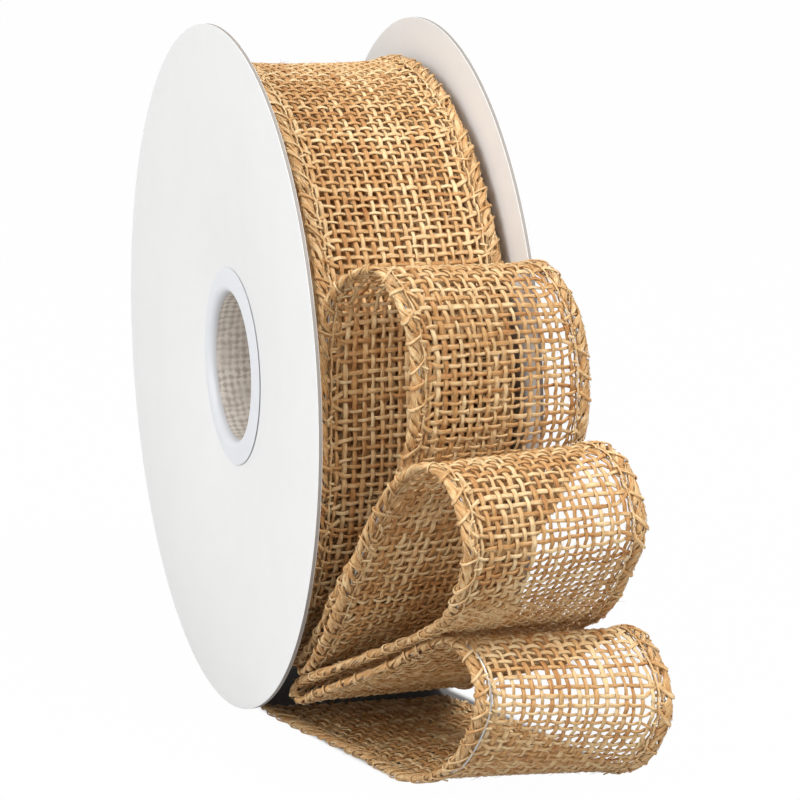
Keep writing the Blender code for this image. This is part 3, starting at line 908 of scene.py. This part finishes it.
def smooth(points, spacing):
    """Rows on a centripetal Catmull-Rom curve through the given rows, spaced by their first three values."""
    rows = np.array(points)
    rows = np.vstack((2 * rows[0] - rows[1], rows, 2 * rows[-1] - rows[-2]))
    chords = np.linalg.norm(np.diff(rows[:, :3], axis=0), axis=1)
    knots = np.concatenate(((0,), np.cumsum(np.sqrt(chords))))
    levels = (((0, 1), (1, 2), (2, 3)), ((0, 2), (1, 3)), ((1, 2),))
    result = []
    for i in range(len(rows) - 3):
        knot = knots[i:i + 4]
        steps = max(LEAST_STEPS, round(chords[i + 1] / spacing))
        for t in np.linspace(knot[1], knot[2], steps, endpoint=False):
            mix = rows[i:i + 4]
            for level in levels:
                mix = [mix[j] + (mix[j + 1] - mix[j]) * (t - knot[a]) / (knot[b] - knot[a])
                       for j, (a, b) in enumerate(level)]
            result.append(mix[0])
    return np.array(result + [rows[-2]])


disc_radius = (disc_high.x - disc_low.x) / 2
root_angle = np.linspace(ROOT_START, ROOT_END, ROOT_POINTS)
root = round_axle(root_angle, np.full(ROOT_POINTS, ROOT_RADIUS), FRONT_EDGE - ROLL_DRIFT) - axle
root = np.hstack((root, np.zeros((ROOT_POINTS, 2))))
laid = np.array(ROUTE) * (MM, MM, MM, math.radians(1), MM)
laid[:, 0] += disc_radius
laid[:, 1] += FRONT_EDGE
laid[:, 2] = np.maximum(laid[:, 2], FLOOR_LEVEL) - disc_radius
route = smooth(np.vstack((root, laid)), TAIL_STEP)
line_turn, line_rise = route[:, 3], route[:, 4]
tail_across = np.stack((-np.sin(line_turn) * RIBBON_WIDTH, np.cos(line_turn) * RIBBON_WIDTH, line_rise), -1)
tail_across /= np.linalg.norm(tail_across, axis=1, keepdims=True)
tail_out = np.cross(tail_across, np.gradient(route[:, :3], axis=0))
tail_out /= np.linalg.norm(tail_out, axis=1, keepdims=True)
tail_path = RibbonPath(route[:, :3] + axle, tail_across, tail_out)

third = tail_path.length / 3
tail_cloths = []
for number in range(3):
    begin, end = number * third, (number + 1) * third
    cloth = weave(f"free_end_cloth_{number + 1}", tail_path, begin, end, jute, "tail")
    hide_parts("ribbon_tail")
    tail_cloths.append(cloth)

# Bindings of the free end: the same overlock of jute thread along both edges, sewn on when the ribbon was
# made, so it follows every loop and fold.
tail_edges = []
for rear, node in enumerate(("tail_edge_front", "tail_edge_rear")):
    edge = binding("visual_" + node, tail_path, rear, "tail")
    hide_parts(node)
    tail_edges.append(edge)

# Wires: bright steel wire inside each binding, which lets the loops hold their shape. On the lowest loop the
# front one has slipped out from under the stitches, and glints beside them.
WIRE_PLACE = 1.9 * MM
WIRE_DIAMETER = 0.4 * MM
WIRE_STEP = 0.6 * MM
WIRE_TONE = 0.5
SLIPPED_PLACE = 3.05 * MM
SLIPPED_HEIGHT = -0.5 * MM
SLIP_ROWS = (32, 36)
SLIP_EASE = 6 * MM
WIRE_BRIGHT = (0.62, 0.62, 0.61)
WIRE_DULL = (0.38, 0.38, 0.39)
WIRE_SCALE = (300, 8, 1)
WIRE_ROUGHNESS = 0.32
WIRE_ROUGHER = 0.2
WIRE_OUTLINE = oval(8)
wire_look, wire_shader, start = new_finish("wire", Metallic=1.0)
yarn = start.add("UVMap", {"uv_map": "yarn"})
drawn = yarn.stretched(*WIRE_SCALE).noise(Detail=2.0)
feed(wire_shader, Base_Color=drawn.mixed(WIRE_DULL, WIRE_BRIGHT))
feed(wire_shader, Roughness=WIRE_ROUGHNESS + drawn * WIRE_ROUGHER)
slip_ends = []
for row in SLIP_ROWS:
    nearest = np.argmin(np.linalg.norm(route[:, :3] - laid[row, :3], axis=1))
    slip_ends.append(tail_path.along[nearest])
along = np.linspace(0, tail_path.length, round(tail_path.length / WIRE_STEP))[None]
slipping = np.clip((along - slip_ends[0]) / SLIP_EASE, 0, 1)
slipped = slipping * np.clip((slip_ends[1] - along) / SLIP_EASE, 0, 1)
front_place = WIRE_PLACE + (SLIPPED_PLACE - WIRE_PLACE) * slipped
rear_place = np.full(along.shape, RIBBON_WIDTH - WIRE_PLACE)
for node, place, height in (
    ("tail_wire_front", front_place, SLIPPED_HEIGHT * slipped),
    ("tail_wire_rear", rear_place, np.zeros(along.shape)),
):
    centre = tail_path.at(along, place, height)
    strand = tubes(centre, tail_path.parts(along)[2], WIRE_DIAMETER, WIRE_DIAMETER, WIRE_OUTLINE)
    wire = strand_piece("visual_" + node, [(strand, [WIRE_TONE])], wire_look, "tail")
    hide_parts(node)

# Stray fibres: short jute hairs that stand out of the yarns all over the ribbon, loose since the spinning.
# Each is one curved fibre that starts inside the cloth and thins towards its tip.
HAIR_WIDTH = 0.07 * MM
HAIR_TIP = 0.4
HAIR_RINGS = 6
HAIR_ENDS = (0.01, 0.99)
HAIR_FROM_EDGE = 0.2 * MM
HAIR_START = 0.3 * MM
HAIR_LENGTHS = (0.7 * MM, 2.6 * MM)
HAIR_RISES = (0.1, 0.55)
HAIR_BEND = 0.35
HAIR_DROOPS = (0, 0.4)
HAIR_TONES = (0.4, 1.0)
ROLL_HAIRS = 1300
FREE_END_HAIRS = 2200


def hairs(name, path, count, body):
    """Curved hairs from random places on both faces of the ribbon."""
    along = random.uniform(HAIR_ENDS[0] * path.length, HAIR_ENDS[1] * path.length, count)
    place = random.uniform(HAIR_FROM_EDGE, RIBBON_WIDTH - HAIR_FROM_EDGE, count)
    face = random.choice((-1.0, 1.0), count)
    across, out = path.parts(along)[1:]
    ahead = np.cross(out, across)
    base = path.at(along, place, face * HAIR_START)
    turn = random.uniform(0, math.tau, count)
    length = random.uniform(*HAIR_LENGTHS, count)
    flat = ahead * np.cos(turn)[:, None] + across * np.sin(turn)[:, None]
    rise = out * (face * random.uniform(*HAIR_RISES, count))[:, None]
    bend = np.cross(out, flat) * random.normal(0, HAIR_BEND, (count, 1))
    bend = bend - out * (face * random.uniform(*HAIR_DROOPS, count))[:, None]
    part_way = np.linspace(0, 1, HAIR_RINGS)[None, :, None]
    curve = (flat + rise)[:, None] * part_way + bend[:, None] * part_way ** 2
    centre = base[:, None] + length[:, None, None] * curve
    up = np.broadcast_to(out[:, None], centre.shape)
    thin = HAIR_WIDTH * np.linspace(1, HAIR_TIP, HAIR_RINGS)
    strands = tubes(centre, up, thin, thin, PLAIN_OVAL)
    made = strand_piece(name, [(strands, random.uniform(*HAIR_TONES, count))], binding_look, body)
    return made


hairs("roll_hairs", turn_path, ROLL_HAIRS, "spool")
tail_hairs = hairs("free_end_hairs", tail_path, FREE_END_HAIRS, "tail")
rests = ([turn_cloths[1].name], [tail_cloths[0].name], [tail_cloths[1].name])
for number, (cloth, under) in enumerate(zip(tail_cloths, rests)):
    with_pieces = tail_edges + [tail_hairs] if number == 0 else []

# Floor: a plain pale table that fades into the white behind it and keeps the shadow of the spool and its free
# end. The strip between the discs and under the loops, which little light reaches, is darker: its colour is
# painted darker there as painted shade, on top of the real shadow.
FLOOR_SIZE = 6.0
FLOOR_WHITE = (0.5, 0.5, 0.5)
FLOOR_PAINTED_SHADE = (0.12, 0.115, 0.11)
FLOOR_GLOW = 0.985
SHADE_MIDDLE = 4.4 * MM
SHADE_HALF_WIDTH = 21.6 * MM
SHADE_ENDS = (-36 * MM, 64 * MM)
SHADE_EDGE = 2.5 * MM
SHADE_FADE = 18 * MM
SHADE_TURN_START = 13 * MM
SHADE_TURN_SLOPE = 0.24
half = FLOOR_SIZE / 2
floor_corners = [(-half, -half, 0), (half, -half, 0), (half, half, 0), (-half, half, 0)]
floor_mesh = bpy.data.meshes.new("floor")
floor_mesh.from_pydata(floor_corners, [], [(0, 1, 2, 3)])
floor = bpy.data.objects.new("floor", floor_mesh)
bpy.context.scene.collection.objects.link(floor)
floor_look, floor_shader, start = new_finish("floor", Roughness=0.9)


def seen_directly(start):
    """One for a ray from the camera, or one that a mirror or glass passes on."""
    ray = start.add("LightPath")
    seen = ray
    for kind in ("Is Glossy Ray", "Is Transmission Ray"):
        seen = start.maths("MAXIMUM", seen, ray.part(kind))
    return seen


place = start.add("TexCoord", output="Object")
parts = start.add("SeparateXYZ", sockets={"Vector": place})
ahead = parts.part("X") - float(axle[0])
turned_aside = start.maths("MAXIMUM", ahead - SHADE_TURN_START, 0.0) * SHADE_TURN_SLOPE
from_middle = parts.part("Y") - float(axle[1] + SHADE_MIDDLE) - turned_aside
aside = start.maths("ABSOLUTE", from_middle)
under = 1.0
for distance, limit, fade in (
    (aside, SHADE_HALF_WIDTH, SHADE_EDGE),
    (ahead, SHADE_ENDS[1], SHADE_EDGE),
    (0.0 - ahead, -SHADE_ENDS[0], SHADE_FADE),
):
    near = {"Value": distance, "From Min": limit, "From Max": limit - fade}
    under = under * start.add("MapRange", {"interpolation_type": "SMOOTHSTEP"}, near)
# The floor's darker colour under the spool and the loops is painted shade
feed(floor_shader, Base_Color=under.mixed(FLOOR_WHITE, FLOOR_PAINTED_SHADE))
glow = start.add("Emission", sockets={"Color": (1.0, 1.0, 1.0), "Strength": 1.0})
share = seen_directly(start) * (1.0 - under) * FLOOR_GLOW
both = start.add("MixShader", sockets={0: share, 1: Signal(start.tree, floor_shader.outputs[0]), 2: glow})
start.tree.links.new(both.socket, start.tree.nodes["Material Output"].inputs["Surface"])
floor_mesh.materials.append(floor_look)

# Studio: white all round as the camera sees it, a soft sky for light that is brightest overhead, and two
# large soft lamps, one high over the loops' side and one on the front disc's side.
SKY_ABOVE = 0.66
SKY_LEVEL = 0.11
KEY_PLACE = (0.75, 0.3, 1.05)
KEY_SIZE = 0.5
KEY_WATTS = 14.3
SIDE_PLACE = (0.4, -0.94, 0.6)
SIDE_SIZE = 0.9
SIDE_WATTS = 9.5
world = bpy.data.worlds.new("studio")
bpy.context.scene.world = world
world.use_nodes = True
start = Signal(world.node_tree)
direction = start.add("TexCoord", output="Generated")
upward = start.add("SeparateXYZ", sockets={"Vector": direction}).part("Z")
sky = start.maths("MAXIMUM", upward, 0.0) * (SKY_ABOVE - SKY_LEVEL) + SKY_LEVEL
seen = seen_directly(start)
background = world.node_tree.nodes["Background"]
background.inputs["Color"].default_value = (1.0, 1.0, 1.0, 1.0)
world.node_tree.links.new((sky * (1.0 - seen) + seen).socket, background.inputs["Strength"])


def soft_lamp(name, place, size, watts):
    """A square lamp aimed at the middle of the roll."""
    light = bpy.data.lights.new(name, "AREA")
    light.size = size
    light.energy = watts
    lamp = bpy.data.objects.new(name, light)
    lamp.location = place
    lamp.rotation_euler = (Vector(axle) - Vector(place)).to_track_quat("-Z", "Y").to_euler()
    bpy.context.scene.collection.objects.link(lamp)


soft_lamp("key", KEY_PLACE, KEY_SIZE, KEY_WATTS)
soft_lamp("side", SIDE_PLACE, SIDE_SIZE, SIDE_WATTS)

# Camera: at the photograph's viewing angle. Its distance and lens are those at which both discs have the same
# outlines as in the photograph.
CAMERA_AZIMUTH = math.radians(70.98)
CAMERA_ELEVATION = math.radians(12.18)
CAMERA_FROM_AXLE = (0.5956, -0.1877, 0.1265)
LENS_LENGTH = 140.5
SENSOR_WIDTH = 36.0
lens = bpy.data.cameras.new("camera")
lens.lens = LENS_LENGTH
lens.sensor_width = SENSOR_WIDTH
camera = bpy.data.objects.new("camera", lens)
camera.location = Vector(axle) + Vector(CAMERA_FROM_AXLE)
camera.rotation_euler = (math.pi / 2 - CAMERA_ELEVATION, 0.0, CAMERA_AZIMUTH)
bpy.context.scene.collection.objects.link(camera)
bpy.context.scene.camera = camera
bpy.context.scene.view_settings.view_transform = "Standard"
